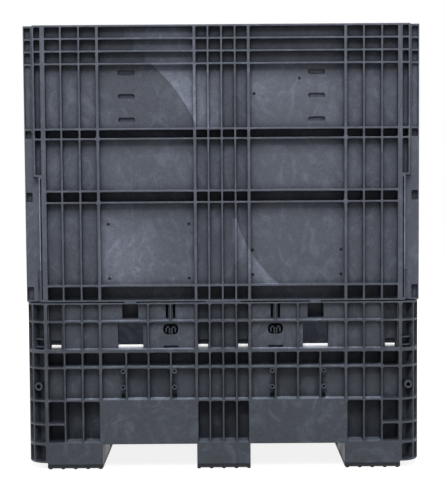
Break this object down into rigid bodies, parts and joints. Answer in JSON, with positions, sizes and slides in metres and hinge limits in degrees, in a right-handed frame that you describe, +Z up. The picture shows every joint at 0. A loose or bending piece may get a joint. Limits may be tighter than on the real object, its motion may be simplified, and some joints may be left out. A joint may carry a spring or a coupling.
{
  "type": "collapsible pallet box",
  "caption": "Collapsible plastic pallet box: ribbed base with fork openings on skids, and ribbed walls hinged on rods that fold down inside the base.",
  "frame": {"origin": "on the floor under the middle of the box", "axes": "+Z up, X across the end walls, Y along the side walls, front end wall faces -Y"},
  "size_m": [1.13, 1.21, 1.27],
  "materials": {
    "box_plastic": "satin moulded polyethylene, dark blue grey",
    "skid_plastic": "satin, near black",
    "rod": "smooth, off white",
    "screw": "plated"
  },
  "bodies": {
    "box": {"base": "box_plastic", "skid_left": "skid_plastic", "skid_centre": "skid_plastic", "skid_right": "skid_plastic", "skid_screw_left_1": "screw", "skid_screw_left_2": "screw", "skid_screw_left_3": "screw", "skid_screw_left_4": "screw", "skid_screw_centre_1": "screw", "skid_screw_centre_2": "screw", "skid_screw_centre_3": "screw", "skid_screw_centre_4": "screw", "skid_screw_right_1": "screw", "skid_screw_right_2": "screw", "skid_screw_right_3": "screw", "skid_screw_right_4": "screw", "left_wall": "box_plastic", "right_wall": "box_plastic", "hinge_rod_front": "rod", "hinge_rod_back": "rod", "hinge_rod_left": "rod", "hinge_rod_right": "rod", "rod_clip_front_a": "box_plastic", "rod_clip_front_b": "box_plastic", "rod_clip_back_a": "box_plastic", "rod_clip_back_b": "box_plastic", "rod_clip_left_a": "box_plastic", "rod_clip_left_b": "box_plastic", "rod_clip_right_a": "box_plastic", "rod_clip_right_b": "box_plastic"},
    "front_wall": {"front_wall": "box_plastic"},
    "back_wall": {"back_wall": "box_plastic"}
  },
  "joints": [
    {"name": "front_wall_fold", "type": "hinge", "parent": "box", "child": "front_wall", "pos_m": [0, -0.571, 0.352], "axis": [-1, 0, 0], "range_deg": [0, 90]},
    {"name": "back_wall_fold", "type": "hinge", "parent": "box", "child": "back_wall", "pos_m": [0, 0.571, 0.308], "axis": [1, 0, 0], "range_deg": [0, 90]}
  ]
}
